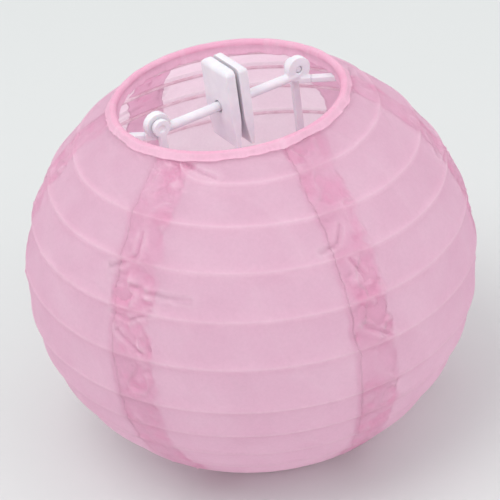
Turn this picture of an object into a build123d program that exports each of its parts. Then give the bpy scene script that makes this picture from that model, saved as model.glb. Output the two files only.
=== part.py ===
from build123d import *
import os
from math import acos, atan2, cos, degrees, hypot, radians, sin, sqrt

# A small round paper lantern, standing on its bottom rim: two steel rings, a spiral rib wire
# and six paper gores, held open by a white plastic spreader with a lamp clip.
# Millimetres, +Z up, origin on the floor under the lantern's axis.

# ---- shade: driving sizes ----
globe_diameter = 100.0      # across the paper at the widest place
ring_diameter = 49.2        # either ring, across the wire's centre line
ring_spacing = 81.0         # from one ring's plane to the other's, with the spreader in
ring_wire_diameter = 1.2
rib_wire_diameter = 0.8
paper_thickness = 0.4       # heavier than real tissue, so that the shell stays a sound solid
gore_count = 6
profile_bands = 13          # short arcs that the outline is drawn with
seam_start_angle = 22.0     # first seam, counted about +Z from -Y
lap_width = 8.5             # how far a gore reaches under the next one
lap_root = 1.0              # strip that joins the lap to its own gore
gore_edge_gap = 1.5         # along the paper, from the ring's centre line to the gore's edge

# ---- spiral rib: steps in degrees of latitude between the turns, at the front ----
first_turn_drop = 6.4       # from the gore's edge to the first turn, and the last turn's the same
first_turn_step = 10.5      # between the first turn and the second
turn_step_growth = 0.65     # each upper step is this much longer than the last
upper_steps = 5
lower_steps = 5             # the turns below share what is left evenly
turn_lean = 4.2             # the turns lie this much higher at -X and lower at +X

# ---- rim hems ----
hem_thickness = 0.25
hem_inner_drop = 1.6        # inside flap, below the ring's plane
hem_outer_width = 3.0       # outside flap, along the paper
rest_flat_depth = 0.05      # pressed off the bottom hem where it stands

# ---- spreader ----
bar_angle = 27.5            # the crossbar's direction about +Z, from +X
bar_diameter = 2.1
bar_drop = 1.4              # crossbar's axis below the top ring's plane
tab_distance = 17.4         # from the lantern's axis to the middle of either end tab
tab_radius = 2.8
tab_thickness = 1.8
tab_lift = 1.4              # middle of the tab above the crossbar's axis
pivot_pin_radius = 0.7
pivot_dimple_depth = 0.3    # the pin's end lies this far inside the tab's face
leg_depth = 1.6             # along the crossbar's direction
leg_thickness = 1.2
leg_head_radius = 1.9
hook_height = 1.3
hook_width = 1.8
hook_turn = -38.0           # the top hooks sweep this far round from the crossbar's line
nub_length = 0.7
nub_width = 0.9

# ---- lamp clip ----
clip_length = 10.5          # across the crossbar
clip_width = 5.3            # along the crossbar, both jaws and the slit
clip_slit = 0.8
clip_top = 9.4              # above the crossbar's axis
clip_bottom = 8.6           # below the crossbar's axis
clip_crown_radius = 1.2
clip_spread = 0.9           # how far each jaw's inner face runs back at its lower end
clip_taper = 0.6            # how far each jaw's outer face comes in at its lower end
clip_throat = 2.2           # the jaws' inner faces run straight to this far below the axis
hub_length = 3.6            # web between the jaws, across the crossbar

# ---- clearances ----
layer_gap = 0.1             # paper to paper, and rib wire to paper
hem_gap = 0.12              # ring wire to the hem round it
body_gap = 0.3              # between pieces that move apart
pin_clearance = 0.08
jaw_bore_clearance = 0.3    # room for the jaws to rock on the crossbar
face_gap = 0.2              # crossbar or tab to leg

# ---- places that follow ----
globe_radius = globe_diameter / 2
ring_radius = ring_diameter / 2
wire_radius = ring_wire_diameter / 2
rib_radius = rib_wire_diameter / 2
half_spacing = ring_spacing / 2
hem_inner_radius = wire_radius + hem_gap
hem_outer_radius = hem_inner_radius + hem_thickness
# The paper's outer face is an ellipse turned about Z that runs through both rings' centre lines.
globe_half_height = half_spacing / sqrt(1 - (ring_radius / globe_radius) ** 2)
bottom_ring_z = hem_outer_radius - rest_flat_depth
top_ring_z = bottom_ring_z + ring_spacing
middle_z = bottom_ring_z + half_spacing
gore_edge_latitude = degrees(acos(ring_radius / globe_radius) - gore_edge_gap / globe_radius)
bar_z = top_ring_z - bar_drop
tab_z = bar_z + tab_lift
bar_radius = bar_diameter / 2
leg_offset = max(tab_thickness / 2, bar_radius) + face_gap + leg_thickness / 2
jaw_thickness = (clip_width - clip_slit) / 2
hook_level = hem_inner_drop + body_gap      # from a ring's plane to the hook's near face
pivot_z = bar_z - bar_radius                # the jaws rock on the crossbar's underside


def name_part(shape, name):
    """Give a piece its node name."""
    shape.label = name
    return shape


def profile_point(inset, latitude):
    """Point of the globe's outline at a latitude, moved straight inwards by the inset."""
    angle = radians(latitude)
    slope = hypot(globe_half_height * cos(angle), globe_radius * sin(angle))
    across = globe_radius * cos(angle) - inset * globe_half_height * cos(angle) / slope
    height = globe_half_height * sin(angle) - inset * globe_radius * sin(angle) / slope
    return (across, height)


def profile_arcs(inset):
    """The outline between the paper's edges, as short arcs that follow it closely."""
    step = 2 * gore_edge_latitude / profile_bands
    arcs = []
    for band in range(profile_bands):
        start = band * step - gore_edge_latitude
        latitudes = (start, start + step / 2, start + step)
        arcs.append(ThreePointArc(*[profile_point(inset, at) for at in latitudes]))
    return arcs


def shell_section(outer_inset, inner_inset):
    """Half section of a paper layer between two depths inside the globe's surface."""
    outer = profile_arcs(outer_inset)
    inner = profile_arcs(inner_inset)
    top = Line(outer[-1] @ 1, inner[-1] @ 1)
    bottom = Line(inner[0] @ 0, outer[0] @ 0)
    face = make_face([*outer, top, *inner, bottom])
    return Plane.XZ * face


def shell_wedge(outer_inset, inner_inset, start, end):
    """A paper layer turned from one angle to another about Z, angles counted from -Y."""
    section = Rot(0, 0, start - 90) * shell_section(outer_inset, inner_inset)
    turned = revolve(section, axis=Axis.Z, revolution_arc=end - start)
    return Pos(0, 0, middle_z) * turned


def seam_slab(seam, before, after):
    """Upright slab along a seam, from before it to after it at a constant width."""
    slab = Box(
        globe_radius * 1.2,
        before + after,
        globe_half_height * 2.4,
        align=(Align.MIN, Align.MIN, Align.CENTER),
    )
    return Rot(0, 0, seam - 90) * Pos(0, -before, middle_z) * slab


def make_gore(index):
    """One paper gore with the lap that it reaches under its neighbour."""
    step = 360 / gore_count
    seam = seam_start_angle + index * step
    parting = degrees(layer_gap / globe_radius)
    sheet = shell_wedge(0, paper_thickness, seam - step + parting, seam)
    lap_outer = paper_thickness + layer_gap
    lap_inner = lap_outer + paper_thickness
    room = step / 2
    lap = shell_wedge(lap_outer, lap_inner, seam - room, seam + room)
    lap = lap & seam_slab(seam, lap_root, lap_width)
    root = shell_wedge(paper_thickness / 2, lap_inner, seam - room, seam)
    root = root & seam_slab(seam, lap_root, 0)
    return sheet + root + lap


def turn_latitudes():
    """Latitude of each turn where it crosses the front, from the top down."""
    first = gore_edge_latitude - first_turn_drop
    latitudes = [first]
    for step in range(upper_steps):
        drop = first_turn_step + step * turn_step_growth
        latitudes.append(latitudes[-1] - drop)
    lower_turn_step = (latitudes[-1] + first) / lower_steps
    for step in range(lower_steps):
        latitudes.append(latitudes[-1] - lower_turn_step)
    return latitudes


def make_rib_spiral():
    """The rib wire: half turns, each a tilted half ring, that meet in line on the XZ plane."""
    depth = 2 * (paper_thickness + layer_gap) + rib_radius
    points = []
    for latitude in turn_latitudes():
        for side, lean in ((-1, turn_lean), (1, -turn_lean)):
            angle = radians(latitude + lean)
            across = side * (globe_radius - depth) * cos(angle)
            height = middle_z + (globe_half_height - depth) * sin(angle)
            points.append(Vector(across, 0, height))
    halves = []
    for index in range(len(points) - 1):
        start, end = points[index], points[index + 1]
        centre = (start + end) * 0.5
        spoke = start - centre
        along = Vector(0, -1 if index % 2 == 0 else 1, 0)
        turning = Axis(centre, spoke.cross(along))
        section = Plane(origin=start, x_dir=spoke, z_dir=along) * Circle(rib_radius)
        halves.append(revolve(section, axis=turning, revolution_arc=180))
    wire = halves[0]
    for half in halves[1:]:
        wire = wire + half
    return wire


def make_ring(height):
    """A closed steel ring."""
    return Pos(0, 0, height) * Torus(ring_radius, wire_radius)


def hem_section():
    """Section of the top hem about the ring's centre, x outward and y up."""
    slope = atan2(globe_half_height**2 * ring_radius, globe_radius**2 * half_spacing)
    reach = hem_outer_radius * 4
    ray = (reach * sin(slope), reach * cos(slope))
    open_side = [(0, 0), (-reach, 0), (-reach, -reach), (reach, -reach), (reach, 0), ray]
    crown = Circle(hem_outer_radius) - Circle(hem_inner_radius)
    crown = crown - make_face(Polyline(*open_side, close=True))
    inside = Pos(-hem_outer_radius, 0) * Rectangle(
        hem_thickness, hem_inner_drop, align=(Align.MIN, Align.MAX)
    )
    outside = Rot(0, 0, -degrees(slope)) * Pos(0, hem_inner_radius) * Rectangle(
        hem_outer_width, hem_thickness, align=(Align.MIN, Align.MIN)
    )
    return crown + inside + outside


def make_top_hem():
    """Paper binding folded over the top ring."""
    section = Plane.XZ * (Pos(ring_radius, top_ring_z) * hem_section())
    return revolve(section, axis=Axis.Z, revolution_arc=360)


def make_bottom_hem():
    """The same binding upside down, pressed flat where the lantern stands on it."""
    hem = make_top_hem().mirror(Plane.XY.offset(middle_z))
    down = (Align.CENTER, Align.CENTER, Align.MAX)
    floor = Box(globe_diameter, globe_diameter, hem_outer_radius, align=down)
    return hem - floor


def along_bar(side):
    """Frame on the lantern's axis: X out along the crossbar's line on that side, Z up."""
    turn = bar_angle if side > 0 else bar_angle + 180
    return Rot(0, 0, turn)


def make_crossbar():
    """Round bar with an upright tab at each end and the web that carries the lamp clip."""
    bar = Rot(0, 90, 0) * Cylinder(bar_radius, 2 * tab_distance)
    hub = Box(clip_slit, hub_length, bar_diameter)
    body = along_bar(1) * Pos(0, 0, bar_z) * (bar + hub)
    for side in (1, -1):
        disc = Rot(90, 0, 0) * Cylinder(tab_radius, tab_thickness)
        hole = Rot(90, 0, 0) * Cylinder(pivot_pin_radius + pin_clearance, tab_thickness * 2)
        seat = hook_seat_box()
        tab = Pos(tab_distance, 0, tab_z) * disc
        body = body + along_bar(side) * (tab + seat)
        body = body - along_bar(side) * Pos(tab_distance, 0, tab_z) * hole
    return body


def hook_seat_box():
    """Short stub on the tab that the top hook grows from."""
    level = top_ring_z - hook_level
    stub = Box(tab_radius, hook_width, hook_height, align=(Align.MIN, Align.CENTER, Align.MAX))
    return Pos(tab_distance, 0, level) * Rot(0, 0, hook_turn) * stub


def hook_reach(start, turn, offset):
    """Distance from a hook's start to the ring's centre line, along the hook."""
    ahead = start * cos(radians(turn)) + offset * sin(radians(turn))
    return -ahead + sqrt(ahead**2 + ring_radius**2 - start**2 - offset**2)


def make_top_hook(side):
    """Springy finger from the tab to the underside of the top ring."""
    reach = hook_reach(tab_distance, hook_turn, 0)
    finger = Box(
        reach + nub_length / 2 - tab_radius,
        hook_width,
        hook_height,
        align=(Align.MIN, Align.CENTER, Align.MAX),
    )
    nub_height = hook_level - wire_radius - body_gap
    nub = Box(nub_length, nub_width, nub_height, align=(Align.CENTER, Align.CENTER, Align.MIN))
    hook = Pos(tab_radius, 0, 0) * finger + Pos(reach, 0, 0) * nub
    level = top_ring_z - hook_level
    return along_bar(side) * Pos(tab_distance, 0, level) * Rot(0, 0, hook_turn) * hook


def make_leg(side):
    """Upright with an eye and a pivot pin at its head."""
    foot_z = bottom_ring_z + hook_level
    head = Rot(90, 0, 0) * Cylinder(leg_head_radius, leg_thickness)
    down = (Align.CENTER, Align.CENTER, Align.MAX)
    shank = Box(leg_depth, leg_thickness, tab_z - foot_z, align=down)
    pin_length = leg_offset + tab_thickness / 2 - pivot_dimple_depth
    outward = (Align.CENTER, Align.CENTER, Align.MIN)
    pin = Rot(90, 0, 0) * Cylinder(pivot_pin_radius, pin_length, align=outward)
    dimple = Rot(90, 0, 0) * Cylinder(pivot_pin_radius, 2 * pivot_dimple_depth)
    leg = head + shank + pin
    leg = leg - Pos(0, leg_thickness / 2, 0) * dimple
    return along_bar(side) * Pos(tab_distance, leg_offset, tab_z) * leg


def make_bottom_hook(side):
    """Springy toe from the leg's foot to the upper side of the bottom ring."""
    reach = hook_reach(tab_distance, 0, leg_offset)
    start = leg_depth / 2
    toe = Box(
        reach + nub_length / 2 - start,
        leg_thickness,
        hook_height,
        align=(Align.MIN, Align.CENTER, Align.MIN),
    )
    nub_height = hook_level - wire_radius - body_gap
    nub = Box(nub_length, nub_width, nub_height, align=(Align.CENTER, Align.CENTER, Align.MAX))
    hook = Pos(start, 0, 0) * toe + Pos(reach, 0, 0) * nub
    return along_bar(side) * Pos(tab_distance, leg_offset, bottom_ring_z + hook_level) * hook


def make_jaw(side):
    """Half of the lamp clip: a plate with a crowned top that rocks on the crossbar."""
    inner = clip_slit / 2
    outer = clip_width / 2
    outline = [
        (inner, clip_top),
        (outer, clip_top),
        (outer, -clip_throat),
        (outer - clip_taper, -clip_bottom),
        (inner + clip_spread, -clip_bottom),
        (inner, -clip_throat),
    ]
    face = Plane.XZ * make_face(Polyline(*outline, close=True))
    jaw = extrude(face, amount=clip_length / 2, both=True)
    crown = min(clip_crown_radius, jaw_thickness * 0.6)
    top_edges = jaw.faces().sort_by(Axis.Z)[-1].edges()
    outside = [edge for edge in top_edges if edge.center().X > inner + layer_gap]
    jaw = fillet(outside, crown)
    bore = Rot(0, 90, 0) * Cylinder(bar_radius + jaw_bore_clearance, clip_width * 2)
    jaw = jaw - bore
    return along_bar(side) * Pos(0, 0, bar_z) * jaw


def hinge_note():
    """Print the pivot places that the moving pieces share."""
    turn = radians(bar_angle)
    for side, name in ((1, "right"), (-1, "left")):
        across, depth = side * tab_distance * cos(turn), side * tab_distance * sin(turn)
        print("leg pivot", name, round(across, 3), round(depth, 3), round(tab_z, 3))
        edge = side * clip_slit / 2
        print("jaw pivot", name, round(edge * cos(turn), 3), round(edge * sin(turn), 3), round(pivot_z, 3))
    print("ring planes", round(bottom_ring_z, 3), round(top_ring_z, 3), "globe centre", round(middle_z, 3))
    print("paper's half height", round(globe_half_height, 3))


def build_parts():
    """Every node with its solid."""
    parts = {
        "top_ring": make_ring(top_ring_z),
        "bottom_ring": make_ring(bottom_ring_z),
        "top_hem": make_top_hem(),
        "bottom_hem": make_bottom_hem(),
        "rib_spiral": make_rib_spiral(),
        "crossbar": make_crossbar(),
    }
    for index in range(gore_count):
        parts[f"paper_gore_{index + 1}"] = make_gore(index)
    for side, name in ((1, "right"), (-1, "left")):
        parts[f"top_hook_{name}"] = make_top_hook(side)
        parts[f"leg_{name}"] = make_leg(side)
        parts[f"bottom_hook_{name}"] = make_bottom_hook(side)
        parts[f"clip_jaw_{name}"] = make_jaw(side)
    return parts


os.makedirs("parts", exist_ok=True)
for node, solid in build_parts().items():
    export_step(name_part(solid, node), f"parts/{node}.step")
hinge_note()
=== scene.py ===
import math
import bpy
import numpy as np
from mathutils import Matrix, Vector, noise


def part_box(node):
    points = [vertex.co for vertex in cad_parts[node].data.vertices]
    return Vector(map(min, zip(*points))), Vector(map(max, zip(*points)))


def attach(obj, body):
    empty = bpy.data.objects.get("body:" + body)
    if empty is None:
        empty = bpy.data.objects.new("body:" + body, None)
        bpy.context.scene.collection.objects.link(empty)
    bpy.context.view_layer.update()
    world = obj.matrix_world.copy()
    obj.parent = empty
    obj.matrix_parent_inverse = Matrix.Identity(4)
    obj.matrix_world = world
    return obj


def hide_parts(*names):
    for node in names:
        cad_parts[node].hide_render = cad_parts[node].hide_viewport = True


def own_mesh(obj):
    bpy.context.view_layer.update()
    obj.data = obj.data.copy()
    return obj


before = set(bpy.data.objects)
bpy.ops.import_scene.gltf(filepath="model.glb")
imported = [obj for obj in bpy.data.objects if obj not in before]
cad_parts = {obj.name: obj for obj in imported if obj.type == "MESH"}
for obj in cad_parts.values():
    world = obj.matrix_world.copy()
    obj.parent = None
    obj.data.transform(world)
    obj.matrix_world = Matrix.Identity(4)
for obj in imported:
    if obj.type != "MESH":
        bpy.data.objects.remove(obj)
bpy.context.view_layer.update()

# the globe's own sizes, its middle and its rings taken from the imported nodes
ringLow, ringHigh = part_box("top_ring")
footLow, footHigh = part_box("bottom_ring")
globe = {
    "radius": 0.0499,
    "halfHeight": 0.04645,
    "middle": (ringLow[2] + ringHigh[2] + footLow[2] + footHigh[2]) / 4,
    "ringRadius": (ringHigh[0] - ringLow[0]) / 2 - 0.0006,     # to the middle of the wire
    "topRing": (ringLow[2] + ringHigh[2]) / 2,
    "bottomRing": (footLow[2] + footHigh[2]) / 2,
    "edgeLatitude": 59.2,     # where the paper tucks under the rims
}


# camera, floor and light
view = {
    "distance": 0.3825,
    "elevation": 32.8,
    "roll": 8.2,
    "focal": 123.552,
    "sensor": 36,
    "clipStart": 0.01,
    "slideRight": -0.00029,
    "slideUp": 0.00136,
}


def aimCamera():
    up, tilt = math.radians(view["elevation"]), math.radians(view["roll"])
    right = Vector((1, 0, 0))
    rise = Vector((0, math.sin(up), math.cos(up)))
    back = Vector((0, -math.cos(up), math.sin(up)))
    right, rise = (right * math.cos(tilt) - rise * math.sin(tilt),
                   right * math.sin(tilt) + rise * math.cos(tilt))
    aim = Vector((0, 0, globe["middle"]))
    aim += right * view["slideRight"] + rise * view["slideUp"]
    data = bpy.data.cameras.new("camera")
    data.lens = view["focal"]
    data.sensor_width = view["sensor"]
    data.clip_start = view["clipStart"]
    camera = bpy.data.objects.new("camera", data)
    bpy.context.scene.collection.objects.link(camera)
    turn = Matrix((right, rise, back)).transposed().to_4x4()
    camera.matrix_world = Matrix.Translation(aim + back * view["distance"]) @ turn
    bpy.context.scene.camera = camera


def hangLamp(name, lamp):
    data = bpy.data.lights.new(name, "AREA")
    data.shape = "DISK"
    data.size = lamp["size"]
    data.energy = lamp["power"]
    data.color = lamp["colour"]
    light = bpy.data.objects.new(name, data)
    light.location = lamp["place"]
    aim = Vector((0, 0, globe["middle"])) - Vector(lamp["place"])
    light.rotation_euler = aim.to_track_quat("-Z", "Y").to_euler()
    bpy.context.scene.collection.objects.link(light)


studio = {
    "floorSize": 3.0,
    "floorColour": (0.612, 0.622, 0.620, 1),
    "floorRoughness": 0.9,
    "skyColour": (0.975, 0.995, 1.0, 1),
    "skyStrength": 1.05,
    "key": {"place": (-0.25, -0.2, 0.75), "size": 0.5, "power": 2.1, "colour": (1, 0.995, 0.985)},
    "fill": {"place": (0.5, -0.45, 0.45), "size": 0.6, "power": 0.8, "colour": (1, 0.99, 0.99)},
}


def makeStudio():
    half = studio["floorSize"] / 2
    mesh = bpy.data.meshes.new("floor")
    corners = [(-half, -half, 0), (half, -half, 0), (half, half, 0), (-half, half, 0)]
    mesh.from_pydata(corners, [], [(0, 1, 2, 3)])
    floor = bpy.data.objects.new("floor", mesh)
    bpy.context.scene.collection.objects.link(floor)
    paint = bpy.data.materials.new("pale floor")
    paint.use_nodes = True
    shader = paint.node_tree.nodes["Principled BSDF"]
    shader.inputs["Base Color"].default_value = studio["floorColour"]
    shader.inputs["Roughness"].default_value = studio["floorRoughness"]
    mesh.materials.append(paint)
    world = bpy.data.worlds.new("studio")
    world.use_nodes = True
    sky = world.node_tree.nodes["Background"]
    sky.inputs["Color"].default_value = studio["skyColour"]
    sky.inputs["Strength"].default_value = studio["skyStrength"]
    bpy.context.scene.world = world
    bpy.context.scene.view_settings.view_transform = "Standard"
    hangLamp("key light", studio["key"])
    hangLamp("fill light", studio["fill"])


aimCamera()
makeStudio()
print("camera, floor and lights are set")


# material helpers
def newPaint(name):
    paint = bpy.data.materials.new(name)
    paint.use_nodes = True
    return paint, paint.node_tree, paint.node_tree.nodes["Principled BSDF"]


def addNode(tree, kind, inputs=None, **settings):
    node = tree.nodes.new(kind)
    for key, value in settings.items():
        setattr(node, key, value)
    for key, value in (inputs or {}).items():
        if isinstance(value, bpy.types.NodeSocket):
            tree.links.new(value, node.inputs[key])
        else:
            node.inputs[key].default_value = value
    return node


def blendColours(tree, share, first, second, kind="MIX"):
    node = addNode(tree, "ShaderNodeMix", data_type="RGBA", blend_type=kind)
    factor, one, other = node.inputs[0], node.inputs[6], node.inputs[7]
    for socket, value in ((factor, share), (one, first), (other, second)):
        if isinstance(value, bpy.types.NodeSocket):
            tree.links.new(value, socket)
        else:
            socket.default_value = value
    return node.outputs[2]


def stretchRange(tree, value, low, high, outLow=0.0, outHigh=1.0):
    node = addNode(tree, "ShaderNodeMapRange", {"Value": value, "From Min": low, "From Max": high,
                                                "To Min": outLow, "To Max": outHigh})
    return node.outputs["Result"]


tissue = {
    "plain": (0.900, 0.715, 0.810, 1),
    "pale": (0.930, 0.775, 0.855, 1),
    "doubled": (0.930, 0.655, 0.785, 1),
    # painted highlight: the paler colour put on raised ribs, crinkles, folds and puckers
    "ridgeHighlight": (0.970, 0.840, 0.900, 1),
    "rim": (0.920, 0.520, 0.690, 1),
    "rimPale": (0.945, 0.640, 0.775, 1),
    "roughness": 0.72,
    "letThrough": 0.85,
    "rimLetThrough": 0.5,
    "lifted": 0.42,        # how much paler the paper is to light that passes through it
    "clear": (1.0, 0.97, 0.985, 1),
    "specular": 0.25,
    "cloudScale": 95.0,
    "fibreScale": 1500.0,
    "hairScale": 620.0,
    "bumpStrength": 0.12,
    "bumpDepth": 0.00006,
}


def tissuePaint(name, rim=False):
    paint, tree, shader = newPaint(name)
    place = addNode(tree, "ShaderNodeTexCoord").outputs["Object"]
    cloud = addNode(tree, "ShaderNodeTexNoise", {
        "Vector": place, "Scale": tissue["cloudScale"], "Detail": 5.0, "Roughness": 0.6})
    fibre = addNode(tree, "ShaderNodeTexNoise", {
        "Vector": place, "Scale": tissue["fibreScale"], "Detail": 4.0, "Roughness": 0.7})
    hair = addNode(tree, "ShaderNodeTexVoronoi", {"Vector": place, "Scale": tissue["hairScale"]},
                   feature="DISTANCE_TO_EDGE")
    mottle = stretchRange(tree, cloud.outputs["Fac"], 0.35, 0.66)
    deep, pale = ("rim", "rimPale") if rim else ("plain", "pale")
    base = blendColours(tree, mottle, tissue[deep], tissue[pale])
    layers = addNode(tree, "ShaderNodeAttribute", attribute_name="doubled",
                     attribute_type="GEOMETRY")
    # painted highlight: this layer marks the raised ribs, crinkles, folds and puckers, which are coloured
    # paler
    highlightLayer = addNode(tree, "ShaderNodeAttribute", attribute_name="paintedHighlight",
                    attribute_type="GEOMETRY")
    shade = blendColours(tree, layers.outputs["Fac"], base, tissue["doubled"])
    shade = blendColours(tree, highlightLayer.outputs["Fac"], shade, tissue["ridgeHighlight"])
    speck = stretchRange(tree, fibre.outputs["Fac"], 0.3, 0.7, 0.96, 1.035)
    shade = blendColours(tree, 1.0, shade, speck, "MULTIPLY")
    tree.links.new(shade, shader.inputs["Base Color"])
    shader.inputs["Roughness"].default_value = tissue["roughness"]
    shader.inputs["Specular IOR Level"].default_value = tissue["specular"]
    height = addNode(tree, "ShaderNodeMath", {0: fibre.outputs["Fac"], 1: hair.outputs["Distance"]},
                     operation="ADD")
    bump = addNode(tree, "ShaderNodeBump", {
        "Height": height.outputs[0], "Strength": tissue["bumpStrength"], "Distance": tissue["bumpDepth"]})
    tree.links.new(bump.outputs["Normal"], shader.inputs["Normal"])
    through = blendColours(tree, tissue["lifted"], shade, tissue["clear"])
    glow = addNode(tree, "ShaderNodeBsdfTranslucent", {"Color": through, "Normal": bump.outputs["Normal"]})
    share = tissue["rimLetThrough" if rim else "letThrough"]
    mixed = addNode(tree, "ShaderNodeMixShader", {0: share, 1: shader.outputs[0], 2: glow.outputs[0]})
    tree.links.new(mixed.outputs[0], tree.nodes["Material Output"].inputs["Surface"])
    return paint


gorePaint = tissuePaint("dyed tissue")
rimPaint = tissuePaint("dyed rim paper", rim=True)


moulded = {
    # the off-white plastic is darkened and tinted pink: painted shade and painted pink light from the paper
    # around it
    "deep": (0.676, 0.646, 0.700, 1),
    "pale": (0.734, 0.708, 0.750, 1),
    "smoothest": 0.34,
    "roughest": 0.5,
    "cloudScale": 260.0,
    "grainScale": 3200.0,
    "bumpStrength": 0.1,
    "bumpDepth": 0.00003,
    "softness": 0.15,        # a little light passes into the plastic
    "softDepth": 0.001,
}


def plasticPaint():
    paint, tree, shader = newPaint("white plastic with painted pink shade")
    place = addNode(tree, "ShaderNodeTexCoord").outputs["Object"]
    cloud = addNode(tree, "ShaderNodeTexNoise", {
        "Vector": place, "Scale": moulded["cloudScale"], "Detail": 3.0})
    grain = addNode(tree, "ShaderNodeTexNoise", {
        "Vector": place, "Scale": moulded["grainScale"], "Detail": 3.0})
    tint = stretchRange(tree, cloud.outputs["Fac"], 0.35, 0.65)
    colour = blendColours(tree, tint, moulded["deep"], moulded["pale"])
    tree.links.new(colour, shader.inputs["Base Color"])
    rough = stretchRange(tree, grain.outputs["Fac"], 0.3, 0.7,
                         moulded["smoothest"], moulded["roughest"])
    tree.links.new(rough, shader.inputs["Roughness"])
    bump = addNode(tree, "ShaderNodeBump", {
        "Height": grain.outputs["Fac"], "Strength": moulded["bumpStrength"],
        "Distance": moulded["bumpDepth"]})
    tree.links.new(bump.outputs["Normal"], shader.inputs["Normal"])
    shader.inputs["Subsurface Weight"].default_value = moulded["softness"]
    shader.inputs["Subsurface Scale"].default_value = moulded["softDepth"]
    return paint


drawnSteel = {
    "deep": (0.62, 0.60, 0.60, 1),
    "pale": (0.78, 0.76, 0.76, 1),
    "smoothest": 0.28,
    "roughest": 0.45,
    "scale": 900.0,
}


def steelPaint():
    paint, tree, shader = newPaint("ring wire steel")
    place = addNode(tree, "ShaderNodeTexCoord").outputs["Object"]
    drawn = addNode(tree, "ShaderNodeTexNoise", {
        "Vector": place, "Scale": drawnSteel["scale"], "Detail": 4.0})
    tint = stretchRange(tree, drawn.outputs["Fac"], 0.3, 0.7)
    colour = blendColours(tree, tint, drawnSteel["deep"], drawnSteel["pale"])
    tree.links.new(colour, shader.inputs["Base Color"])
    rough = stretchRange(tree, drawn.outputs["Fac"], 0.3, 0.7,
                         drawnSteel["smoothest"], drawnSteel["roughest"])
    tree.links.new(rough, shader.inputs["Roughness"])
    shader.inputs["Metallic"].default_value = 1.0
    return paint


print("finishes are made")


# the spiral rib's path, in degrees: angle round from the front, latitude from the middle
spiral = {
    "first": 52.4,
    "firstStep": 10.5,
    "stepGrowth": 0.65,
    "upperSteps": 5,
    "lowerSteps": 5,
    "lean": 4.2,
    "start": -27.0,        # where the wire leaves the top rim
    "end": 3690.0,
    "lead": 5.6,           # how steeply it comes down from the rim
    "leadLength": 4.2,
    "lift": 3.3,           # the first turn runs flatter than the rest
    "liftSpan": 292.0,
    "wire": 0.0004,
    "wireDepth": 0.00138,  # from the globe's outline in to the wire's middle
    "tucked": 58.6,        # the wire goes no further up or down than this
    "sides": 10,
    "step": 3.0,
    "crossings": 10,
}


def turnLatitudes():
    found = [spiral["first"]]
    for step in range(spiral["upperSteps"]):
        found.append(found[-1] - spiral["firstStep"] - step * spiral["stepGrowth"])
    gap = (found[-1] + spiral["first"]) / spiral["lowerSteps"]
    for step in range(spiral["lowerSteps"]):
        found.append(found[-1] - gap)
    found.append(found[-1] - gap)
    return found


turns = turnLatitudes()


def ribLatitude(angle):
    angle = np.asarray(angle, float)
    turn = np.clip(np.floor((angle + 90) / 360), 0, len(turns) - 2).astype(int)
    inTurn = angle - 360 * turn
    here, following = np.take(turns, turn), np.take(turns, turn + 1)
    swing = np.sin(np.radians(inTurn))
    lean = spiral["lean"]
    front = here - lean * swing
    behind = (here + following) / 2 + (here - following - 2 * lean) / 2 * swing
    latitude = np.where(inTurn <= 90, front, behind)
    share = np.clip(angle / spiral["liftSpan"], 0, 1)
    latitude = latitude + spiral["lift"] * np.sin(np.pi * share)
    fall = np.exp(-np.maximum(angle - spiral["start"], 0) / spiral["leadLength"])
    return latitude + spiral["lead"] * fall


def onGlobe(angle, latitude, depth):
    turn, tilt = np.radians(angle), np.radians(latitude)
    across = (globe["radius"] - depth) * np.cos(tilt)
    height = globe["middle"] + (globe["halfHeight"] - depth) * np.sin(tilt)
    return np.stack([across * np.sin(turn), -across * np.cos(turn), height], -1)


def noiseField(x, y, z, size, seed, octaves=3):
    # smooth noise of three arrays, in -1 to 1
    shape = np.broadcast(x, y, z).shape
    spots = np.stack([np.broadcast_to(part, shape).ravel() / size for part in (x, y, z)], -1)
    values = [noise.fractal(Vector((px + seed * 17.3, py - seed * 9.1, pz + seed * 5.7)), 0.9, 2.0, octaves)
              for px, py, pz in spots]
    return np.array(values).reshape(shape)


gores = {
    "count": 6,
    "firstSeam": 22.0,
    "lap": 0.0085,
    "columns": 72,
    "stripColumns": 46,
    "stripSpan": 14.0,
    "rowsPerTurn": 18,
    "thickness": 0.00008,
    "dip": 0.00028,          # how far the paper sinks between two ribs
    "ridge": 0.00016,
    "ridgeWidth": 0.00044,
    "ripple": 0.00022,
    "crinkle": 0.00062,
    "raggedLap": 0.20,
    "lapTint": 0.15,
    "lapRoot": 1.3,          # degrees that the lap reaches back under its own gore
    "lapReach": 9.8,         # degrees past a seam over which the ribs are followed
    "lapColumns": 15,
    "layerGap": 0.00030,
    "inset": 0.0001,         # how far the outer layer lies inside the globe's outline
    "rowSpan": 9.5,          # degrees between ribs that take all of rowsPerTurn
    "fewestRows": 8,
    "rowBunching": 0.45,     # rows stand closer together at the ribs
}
goreAngle = 360 / gores["count"]
metresPerDegree = math.radians(globe["radius"] * 0.97)


def goreKnots(angles, firstTurn):
    # latitudes where ribs cross each column, with the two edges
    knots = [np.full_like(angles, globe["edgeLatitude"])]
    for turn in range(firstTurn, spiral["crossings"]):
        knots.append(ribLatitude(angles + 360 * turn))
    knots.append(np.full_like(angles, -globe["edgeLatitude"]))
    return np.array(knots)


def liveKnots(angles):
    # every rib crossing per column, for the ridges and the dips between them
    rows = [np.full_like(angles, globe["edgeLatitude"])]
    for turn in range(-1, spiral["crossings"] + 1):
        along = angles + 360 * turn
        inside = (along >= spiral["start"]) & (along <= spiral["end"])
        outside = globe["edgeLatitude"] if turn <= 0 else -globe["edgeLatitude"]
        latitude = np.where(inside, ribLatitude(along), outside)
        rows.append(np.clip(latitude, -globe["edgeLatitude"], globe["edgeLatitude"]))
    rows.append(np.full_like(angles, -globe["edgeLatitude"]))
    return np.array(rows)


def seamSpread(angles, latitude, seam):
    # distance past a seam in metres, along the paper
    return np.radians(angles - seam) * globe["radius"] * np.cos(np.radians(latitude))


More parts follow.
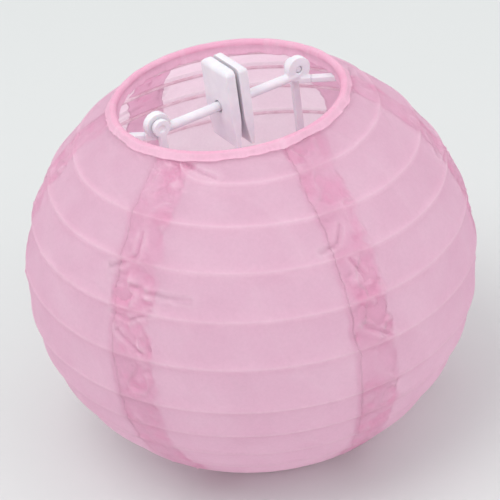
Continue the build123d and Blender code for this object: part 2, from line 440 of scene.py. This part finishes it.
def facets(x, y, z, size, seed):
    # crumpled paper is flat facets that meet in sharp creases
    spots = np.stack([part.ravel() / size for part in (x, y, z)], -1)
    near = [noise.voronoi(Vector((px + seed, py, pz)))[0] for px, py, pz in spots]
    return np.array([found[1] - found[0] - 0.35 for found in near]).reshape(x.shape)


# the boldest creases, each a few places of (angle, latitude) in degrees, near a pair of seams
creases = {
    "depth": 0.00034,
    "width": 0.00042,
    "shoulder": 0.00026,
    "shoulderPlace": 2.2,    # in crease widths
    "shoulderWidth": 1.6,
    "repeats": 3,            # the same creases come again this many times round the globe
    "lines": [
        [(-41, 30.5), (-33, 34.5), (-33, 40)],
        [(-40, 28), (-29, 26.4), (-17, 24.9)],
        [(27, 36), (24, 32.5), (19, 31.8)],
        [(25, 10.5), (32, 4.5)],
        [(-22, 58), (-10, 54.8)],
        [(26, 28), (28.5, 22)],
        [(-38, 19.4), (-33, 18.6), (-27, 21.5)],
        [(-37, 15.2), (-30, 10)],
    ],
}


def creaseDistance(around, latitude, line):
    # metres along the paper from each point to a bent line
    nearest = np.ones_like(latitude)
    for (a0, l0), (a1, l1) in zip(line, line[1:]):
        squeeze = math.cos(math.radians((l0 + l1) / 2))
        px = (around - a0) * metresPerDegree * squeeze
        py = (latitude - l0) * metresPerDegree
        dx, dy = (a1 - a0) * metresPerDegree * squeeze, (l1 - l0) * metresPerDegree
        along = np.clip((px * dx + py * dy) / (dx * dx + dy * dy), 0, 1)
        nearest = np.minimum(nearest, np.hypot(px - along * dx, py - along * dy))
    return nearest


def creaseShape(turn, latitude):
    shape = np.zeros_like(latitude)
    shoulderHighlight = np.zeros_like(latitude)
    shoulderAt = creases["shoulderPlace"] * creases["width"]
    shoulderWide = creases["shoulderWidth"] * creases["width"]
    for repeat in range(creases["repeats"]):
        around = (turn - 360 / creases["repeats"] * repeat + 180) % 360 - 180
        for line in creases["lines"]:
            nearest = creaseDistance(around, latitude, line)
            valley = np.exp(-(nearest / creases["width"]) ** 2)
            shoulder = np.exp(-((nearest - shoulderAt) / shoulderWide) ** 2)
            shape += creases["depth"] * valley - creases["shoulder"] * shoulder
            # painted highlight on the raised shoulder beside each crease, none in its valley
            shoulderHighlight = np.maximum(shoulderHighlight, shoulder - valley)
    return shape, np.clip(shoulderHighlight, 0, 1)


# how far the seams stray from a straight line, in degrees, and over what length
wander = {"reach": 0.75, "size": 0.0055, "fade": 4.0, "seed": 71}


def seamWander(latitude, seam):
    # the same for both gores at a seam
    x = 0.01 * math.sin(math.radians(seam))
    y = 0.01 * math.cos(math.radians(seam))
    return wander["reach"] * noiseField(x, y, latitude * metresPerDegree, wander["size"], wander["seed"])


# the paper's unevenness: sizes and depths in metres, the painted highlights on raised ribs, crinkles and
# folds are shares
crumpling = {
    "softSize": 0.011,
    "fineSize": 0.0042,
    "crumpleSize": 0.0034,
    "facetSize": 0.0036,
    "foldSize": 0.0062,
    "straySize": 0.021,
    "strayDepth": 0.00016,
    "stillNear": 0.0012,     # the paper can't move nearer to a rib than this
    "fullSag": 9.0,          # degrees between ribs that give the whole dip
    "stripShift": 0.0004,
    "stripFade": 0.0007,
    "raggedSoft": 0.0011,
    "raggedFine": 0.0007,
    # shares of painted highlight: paler colour on the rib ridges and on raised crinkles, folds and crease
    # shoulders
    "ribHighlight": 0.60,
    "ribHighlightWidth": 0.00030,
    "crumpleHighlight": 0.55,
    "foldHighlight": 0.35,
    "strayHighlight": 0.16,
    "boldHighlight": 0.38,
}


def sagBetweenRibs(angles, latitude):
    # the paper's dip, and each point's distance from the nearest rib in metres
    live = liveKnots(angles)[:, :, None]
    gaps = latitude[None] - live
    nearest = np.abs(gaps[1:-1]).min(0) * metresPerDegree
    above = np.where(gaps <= 0, live, 999).min(0)
    below = np.where(gaps >= 0, live, -999).max(0)
    span = np.maximum(above - below, 0.01)
    share = np.clip((latitude - below) / span, 0, 1)
    sag = (4 * share * (1 - share)) ** 0.75
    sag = sag * np.clip(span / crumpling["fullSag"], 0, 1.25) * (0.72 + 0.56 * share)
    return sag, nearest


def lapStrip(turn, latitude, soft, fine):
    # 1 where two gores lap and 0 elsewhere
    strip = np.zeros_like(latitude)
    fade = crumpling["stripFade"]
    ragged = crumpling["raggedSoft"] * soft + crumpling["raggedFine"] * fine
    for index in range(-1, gores["count"] + 2):
        past = seamSpread(turn, latitude, gores["firstSeam"] + goreAngle * (index - 1))
        begun = np.clip((past + crumpling["stripShift"] + ragged) / fade, 0, 1)
        unfinished = np.clip((gores["lap"] + ragged - past) / fade, 0, 1)
        strip = np.maximum(strip, begun * unfinished)
    return strip


def paperSurface(angles, latitude, seed, depth):
    sag, nearest = sagBetweenRibs(angles, latitude)
    turn = np.broadcast_to(angles[:, None], latitude.shape)
    for seam in (angles[0], angles[-1]):
        away = np.abs(turn - seam)
        turn = turn + seamWander(latitude, round(seam)) * np.exp(-(away / wander["fade"]) ** 2)
    x, y, z = np.moveaxis(onGlobe(turn, latitude, 0), -1, 0)
    soft = noiseField(x, y, z, crumpling["softSize"], seed)
    fine = noiseField(x, y, z, crumpling["fineSize"], seed + 3)
    strip = lapStrip(turn, latitude, soft, fine)
    crumple = noiseField(x, y, z * 1.6, crumpling["crumpleSize"], seed + 7, 4) * 0.6
    crumple = crumple + facets(x, y, z, crumpling["facetSize"], seed)
    folded = 1 - np.abs(noiseField(x, y, z * 0.8, crumpling["foldSize"], seed + 11, 2)) * 3.2
    folded = np.clip(folded, 0, 1) ** 3
    patch = np.clip(0.75 + 1.1 * soft, 0.25, 1.35)          # some stretches are nearly smooth
    free = np.clip(nearest / crumpling["stillNear"], 0.15, 1)
    sink = gores["dip"] * sag
    sink = sink + gores["ripple"] * free * (soft * 0.8 + fine * 0.45)
    sink = sink - strip * free * patch * gores["crinkle"] * (crumple + folded * 0.7)
    # long stray folds in the plain paper
    stray = noiseField(x + z * 0.6, y - z * 0.4, z * 0.5, crumpling["straySize"], seed + 19, 2)
    stray = np.clip(1 - np.abs(stray) * 9.0, 0, 1) ** 2
    sink = sink - crumpling["strayDepth"] * stray * free
    bold, boldHighlight = creaseShape(turn, latitude)
    sink = sink + bold * free
    sink = sink - gores["ridge"] * np.exp(-(nearest / gores["ridgeWidth"]) ** 2)
    # painted highlight: paler colour along the rib ridges and on the raised crinkles, folds, stray folds and
    # crease shoulders
    ribHighlight = np.exp(-(nearest / crumpling["ribHighlightWidth"]) ** 2)
    paintedHighlight = crumpling["ribHighlight"] * ribHighlight * (1 - 0.5 * strip)
    paintedHighlight = paintedHighlight + crumpling["crumpleHighlight"] * strip * patch * np.clip(crumple * 1.3, 0, 1)
    paintedHighlight = paintedHighlight + crumpling["foldHighlight"] * strip * folded
    paintedHighlight = paintedHighlight + crumpling["strayHighlight"] * stray * (1 - strip)
    paintedHighlight = np.clip(paintedHighlight + crumpling["boldHighlight"] * boldHighlight, 0, 1)
    doubled = strip * np.clip(0.22 + 0.8 * (soft + fine), 0, 0.85)
    return onGlobe(turn, latitude, depth + sink), doubled, paintedHighlight


def sheetMesh(name, points, doubled, paintedHighlight, thickness, paint):
    across, along = points.shape[:2]
    corners = points.reshape(-1, 3)
    first = (np.arange(across - 1)[:, None] * along + np.arange(along - 1)[None]).ravel()
    faces = np.stack([first, first + along, first + along + 1, first + 1], -1)
    mesh = bpy.data.meshes.new(name)
    mesh.from_pydata(corners.tolist(), [], faces.tolist())
    for label, values in (("doubled", doubled), ("paintedHighlight", paintedHighlight)):
        layer = mesh.attributes.new(label, "FLOAT", "POINT")
        layer.data.foreach_set("value", values.astype(np.float32).ravel())
    mesh.polygons.foreach_set("use_smooth", [True] * len(mesh.polygons))
    mesh.materials.append(paint)
    piece = bpy.data.objects.new(name, mesh)
    bpy.context.scene.collection.objects.link(piece)
    thick = piece.modifiers.new("thickness", "SOLIDIFY")
    thick.thickness = thickness
    thick.offset = 0
    thick.use_even_offset = False
    return piece


def applyAll(piece):
    # the modifiers' result becomes the mesh itself
    graph = bpy.context.evaluated_depsgraph_get()
    final = bpy.data.meshes.new_from_object(piece.evaluated_get(graph))
    piece.modifiers.clear()
    piece.data = final
    return piece


def goreRows(angles, firstTurn):
    # rows of latitude that follow the ribs, from one edge to the other
    knots = goreKnots(angles, firstTurn)
    rows = []
    for index in range(len(knots) - 1):
        high, low = knots[index], knots[index + 1]
        fullSpan = abs(float(np.mean(high - low)))
        count = int(round(gores["rowsPerTurn"] * fullSpan / gores["rowSpan"]))
        count = max(gores["fewestRows"], count)
        if index == 0 and firstTurn == 1:
            count *= 3           # the first rib crosses this band at a slant
        for step in range(count):
            share = step / count
            share = share - math.sin(2 * math.pi * share) / (2 * math.pi) * gores["rowBunching"]
            rows.append(high + (low - high) * share)
    rows.append(knots[-1])
    return np.array(rows).T


def makeGore(index):
    end = gores["firstSeam"] + goreAngle * index
    start = end - goreAngle
    firstTurn = 1 if index == 0 else 0
    stripEnd = start + gores["stripSpan"]
    seamSide = np.linspace(start + 0.001, stripEnd, gores["stripColumns"], endpoint=False)
    plainSide = np.linspace(stripEnd, end - 0.001, gores["columns"])
    angles = np.concatenate([seamSide, plainSide])
    rows = goreRows(angles, firstTurn)
    points, doubled, paintedHighlight = paperSurface(angles, rows, 1, gores["inset"])
    piece = sheetMesh("paper gore %d" % (index + 1), points, doubled, paintedHighlight,
                      gores["thickness"], gorePaint)
    return applyAll(piece), makeLap(end, firstTurn)


def makeLap(end, firstTurn):
    # the strip of a gore that reaches under the next one
    share = np.linspace(0, 1, gores["lapColumns"])
    angles = np.linspace(end - 1.0, end + gores["lapReach"], gores["lapColumns"])
    rows = goreRows(angles, firstTurn)
    ragged = 1 + gores["raggedLap"] * noiseField(0, end, rows * metresPerDegree, 0.0045, 83)
    width = gores["lap"] * ragged / (globe["radius"] * np.cos(np.radians(rows)))
    begin = end - gores["lapRoot"] + seamWander(rows, round(end))
    turn = begin + (gores["lapRoot"] + np.degrees(width)) * share[:, None]
    points = onGlobe(turn, rows, gores["inset"] + gores["layerGap"] + gores["dip"] * 0.9)
    tint = np.full_like(rows, gores["lapTint"])
    lap = sheetMesh("lap", points, tint, np.zeros_like(rows), gores["thickness"], gorePaint)
    return applyAll(lap)


def joinInto(piece, extra):
    # two meshes as one piece
    both = bpy.data.meshes.new(piece.name)
    corners, faces, doubled, paintedHighlight = [], [], [], []
    for part in (piece, extra):
        mesh = part.data
        offset = len(corners)
        corners += [tuple(v.co) for v in mesh.vertices]
        faces += [tuple(i + offset for i in face.vertices) for face in mesh.polygons]
        doubled += [value.value for value in mesh.attributes["doubled"].data]
        paintedHighlight += [value.value for value in mesh.attributes["paintedHighlight"].data]
    both.from_pydata(corners, [], faces)
    for label, values in (("doubled", doubled), ("paintedHighlight", paintedHighlight)):
        both.attributes.new(label, "FLOAT", "POINT").data.foreach_set("value", values)
    both.polygons.foreach_set("use_smooth", [True] * len(faces))
    both.materials.append(gorePaint)
    piece.data = both
    bpy.data.objects.remove(extra)
    return piece


gorePieces = []
for index in range(gores["count"]):
    piece, lap = makeGore(index)
    joinInto(piece, lap)
    piece.name = "folded_paper_gore_%d" % (index + 1)
    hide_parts("paper_gore_%d" % (index + 1))
    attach(piece, "shade")
    gorePieces.append(piece)
    print("gore", index + 1, "has", len(piece.data.polygons), "faces")


# the wire inside the paper
def makeWire():
    sides = spiral["sides"]
    angles = np.arange(spiral["start"], spiral["end"], spiral["step"])
    latitudes = np.clip(ribLatitude(angles), -spiral["tucked"], spiral["tucked"])
    middle = onGlobe(angles, latitudes, spiral["wireDepth"])
    along = np.gradient(middle, axis=0)
    along /= np.linalg.norm(along, axis=1)[:, None]
    outward = middle - np.array([0, 0, globe["middle"]])
    outward -= (outward * along).sum(1)[:, None] * along
    outward /= np.linalg.norm(outward, axis=1)[:, None]
    sideways = np.cross(along, outward)
    rings = []
    for step in range(sides):
        turn = 2 * math.pi * step / sides
        rings.append(middle + spiral["wire"] * (outward * math.cos(turn) + sideways * math.sin(turn)))
    corners = np.stack(rings, 1)
    count = len(middle)
    faces = []
    for place in range(count - 1):
        for step in range(sides):
            after = (step + 1) % sides
            faces.append((place * sides + step, place * sides + after,
                          (place + 1) * sides + after, (place + 1) * sides + step))
    faces.append(tuple(reversed(range(sides))))
    faces.append(tuple(range((count - 1) * sides, count * sides)))
    mesh = bpy.data.meshes.new("spiral rib wire")
    mesh.from_pydata(corners.reshape(-1, 3).tolist(), [], faces)
    mesh.polygons.foreach_set("use_smooth", [True] * len(faces))
    mesh.materials.append(ribPaint)
    wire = bpy.data.objects.new("spiral_rib_wire", mesh)
    bpy.context.scene.collection.objects.link(wire)
    return wire


lacquered = {
    "deep": (0.80, 0.62, 0.68, 1),
    "pale": (0.90, 0.80, 0.83, 1),
    "smoothest": 0.35,
    "roughest": 0.6,
    "scale": 420.0,
}


def lacquerPaint():
    paint, tree, shader = newPaint("lacquered rib wire")
    place = addNode(tree, "ShaderNodeTexCoord").outputs["Object"]
    glue = addNode(tree, "ShaderNodeTexNoise", {"Vector": place, "Scale": lacquered["scale"], "Detail": 4.0})
    tint = stretchRange(tree, glue.outputs["Fac"], 0.35, 0.65)
    colour = blendColours(tree, tint, lacquered["deep"], lacquered["pale"])
    tree.links.new(colour, shader.inputs["Base Color"])
    rough = stretchRange(tree, glue.outputs["Fac"], 0.3, 0.7,
                         lacquered["smoothest"], lacquered["roughest"])
    tree.links.new(rough, shader.inputs["Roughness"])
    return paint


ribPaint = lacquerPaint()
wire = makeWire()
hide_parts("rib_spiral")
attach(wire, "shade")
print("the rib wire is wound")


# the paper binding round each ring
rims = {
    "crown": 0.00086,
    "flap": 0.0021,
    "apron": 0.0015,
    "ragged": 0.0004,
    "wrinkle": 0.00016,
    "tightest": -0.00009,
    "settle": 0.62,          # share of the apron before it lies on the paper
    "thickness": 0.00016,
    "columns": 720,
    "flapRows": 9,
    "bendRows": 15,
    "apronRows": 10,
    "slope": 62.3,           # degrees between the paper at the rim and upright
    "onPaper": 0.00022,      # the apron's end stands this far off the ring's own line
    "lowest": 0.00012,       # nothing goes nearer to the floor than this
    "wideSize": 0.0075,
    "tightSize": 0.0022,
    "apronSize": 0.0055,
    "flapFray": 0.0003,
    "apronFray": 0.0002,
}


def makeRim(name, side, seed):
    # side is 1 for the top rim and -1 for the bottom one
    turn = np.linspace(0, 360, rims["columns"], endpoint=False)
    spin = np.radians(turn)
    level = np.zeros_like(spin)
    ringHeight = globe["topRing"] if side > 0 else globe["bottomRing"]
    onRing = [globe["ringRadius"] * np.sin(spin), -globe["ringRadius"] * np.cos(spin), ringHeight]
    wide = noiseField(*onRing, rims["wideSize"], seed)
    tight = noiseField(*onRing, rims["tightSize"], seed + 2)
    edge = noiseField(*onRing, rims["apronSize"], seed + 5)
    flap = rims["flap"] + rims["ragged"] * wide + rims["flapFray"] * tight
    apron = rims["apron"] + rims["ragged"] * edge + rims["apronFray"] * tight
    crown, gap = rims["crown"], rims["onPaper"]
    slope = math.radians(rims["slope"])
    outAlong = (math.sin(slope), -math.cos(slope))
    outNormal = (math.cos(slope), math.sin(slope))
    # across the binding: how far out, how far up, how doubled, how free to pucker
    rows = []
    for share in np.linspace(1, 0.12, rims["flapRows"]):
        rows.append((-crown + 0.0001 * np.sin(share * 3) + level, -flap * share, 1.0, share))
    for bend in np.linspace(math.pi, slope, rims["bendRows"]):
        rows.append((crown * math.cos(bend) + level, crown * math.sin(bend) + level, 0.0, 0.0))
    for share in np.linspace(0.1, 1, rims["apronRows"]):
        reach = apron * share
        lift = gap + (crown - gap) * math.exp(-(share / rims["settle"]) ** 2)
        rows.append((outAlong[0] * reach + outNormal[0] * lift,
                     outAlong[1] * reach + outNormal[1] * lift, 0.75, share))
    corners, doubled, paintedHighlight = [], [], []
    for number, (out, up, shade, free) in enumerate(rows):
        outer = number > rims["flapRows"]
        pucker = rims["wrinkle"] * (0.45 * wide + (0.5 + 1.1 * free) * tight)
        pucker = np.maximum(pucker, rims["tightest"])
        radius = globe["ringRadius"] + out + pucker * (0.8 if outer else -0.8)
        height = ringHeight + side * (up + (0.5 * pucker if outer else 0))
        height = np.maximum(height, rims["lowest"])
        corners.append(np.stack([radius * np.sin(spin), -radius * np.cos(spin), height], -1))
        doubled.append(np.clip(shade + 0.25 * wide, 0, 1))
        # painted highlight where the binding puckers
        paintedHighlight.append(np.clip((tight - 0.3) * 0.6, 0, 0.2))
    corners = np.array(corners)
    deep, around = corners.shape[:2]
    faces = []
    for row in range(deep - 1):
        near, far = row * around, (row + 1) * around
        for step in range(around):
            after = (step + 1) % around
            face = (near + step, near + after, far + after, far + step)
            faces.append(face if side > 0 else face[::-1])
    mesh = bpy.data.meshes.new(name)
    mesh.from_pydata(corners.reshape(-1, 3).tolist(), [], faces)
    for label, values in (("doubled", doubled), ("paintedHighlight", paintedHighlight)):
        layer = mesh.attributes.new(label, "FLOAT", "POINT")
        layer.data.foreach_set("value", np.array(values, np.float32).ravel())
    mesh.polygons.foreach_set("use_smooth", [True] * len(faces))
    mesh.materials.append(rimPaint)
    rim = bpy.data.objects.new(name, mesh)
    bpy.context.scene.collection.objects.link(rim)
    thick = rim.modifiers.new("thickness", "SOLIDIFY")
    thick.thickness = rims["thickness"]
    thick.offset = 0
    return applyAll(rim)


for name, side, node, body, seed in (("top_rim_binding", 1, "top_hem", "top_rim", 31),
                                     ("bottom_rim_binding", -1, "bottom_hem", "shade", 47)):
    rim = makeRim(name, side, seed)
    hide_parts(node)
    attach(rim, body)
print("both rims are bound")

# each gore and the wire get a mesh of their own
for piece in gorePieces + [wire]:
    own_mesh(piece)


# the white spreader and the rings
moulding = {"grain": 0.00014, "softening": 4, "softenBy": 0.5}
plastic = plasticPaint()
ringSteel = steelPaint()
mouldedNodes = ["crossbar"]
for hand in ("right", "left"):
    mouldedNodes += ["top_hook_" + hand, "leg_" + hand, "bottom_hook_" + hand, "clip_jaw_" + hand]
for name in mouldedNodes:
    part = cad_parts[name]
    for place in part.material_slots:
        place.material = plastic
    melt = part.modifiers.new("melt", "REMESH")
    melt.mode = "VOXEL"
    melt.voxel_size = moulding["grain"]
    melt.use_smooth_shade = True
    ease = part.modifiers.new("ease", "SMOOTH")
    ease.factor = moulding["softenBy"]
    ease.iterations = moulding["softening"]
for name in ("top_ring", "bottom_ring"):
    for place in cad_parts[name].material_slots:
        place.material = ringSteel
print("the spreader and the rings have their finish")
